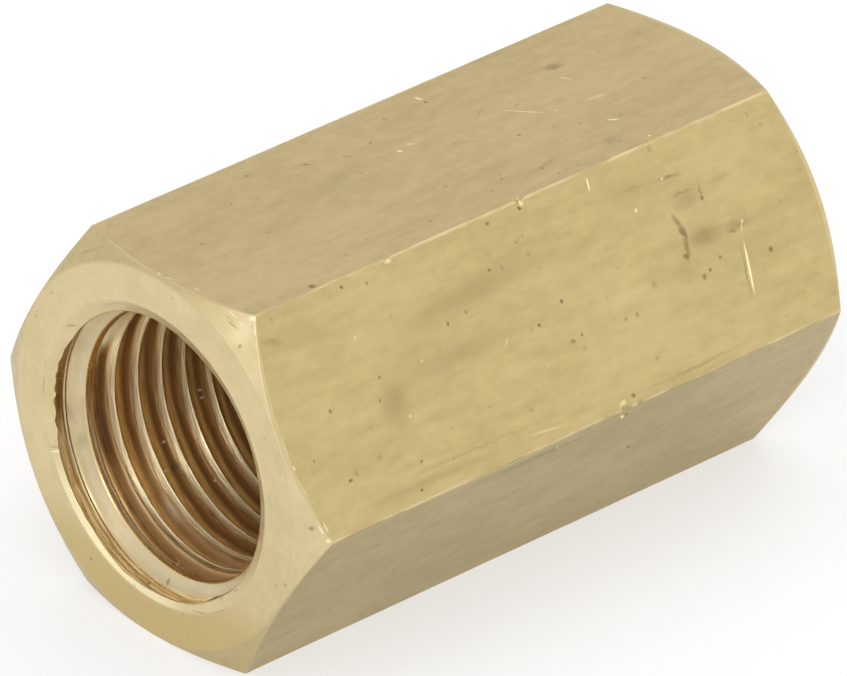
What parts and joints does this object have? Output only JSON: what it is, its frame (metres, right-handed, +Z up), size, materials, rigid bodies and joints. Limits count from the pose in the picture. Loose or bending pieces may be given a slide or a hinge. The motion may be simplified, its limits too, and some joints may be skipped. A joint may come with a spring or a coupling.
{
  "type": "brake line adapter",
  "caption": "Hexagonal brass inline coupler with conically chamfered ends and a threaded blind port in each end, joined by a small passage between two drilled seats.",
  "frame": {"origin": "on the bore axis at mid-length, the centre of the bounding box", "axes": "+X along the common bore axis from the shown port to the far one; +Z up, square to the wrench flat on top, so the part lies on the opposite flat"},
  "size_m": [0.0234, 0.015, 0.013],
  "materials": {
    "brass": "drawn satin flats, turned ends, bright tapped bores"
  },
  "bodies": {
    "root": {"coupler_body": "brass"}
  },
  "joints": []
}
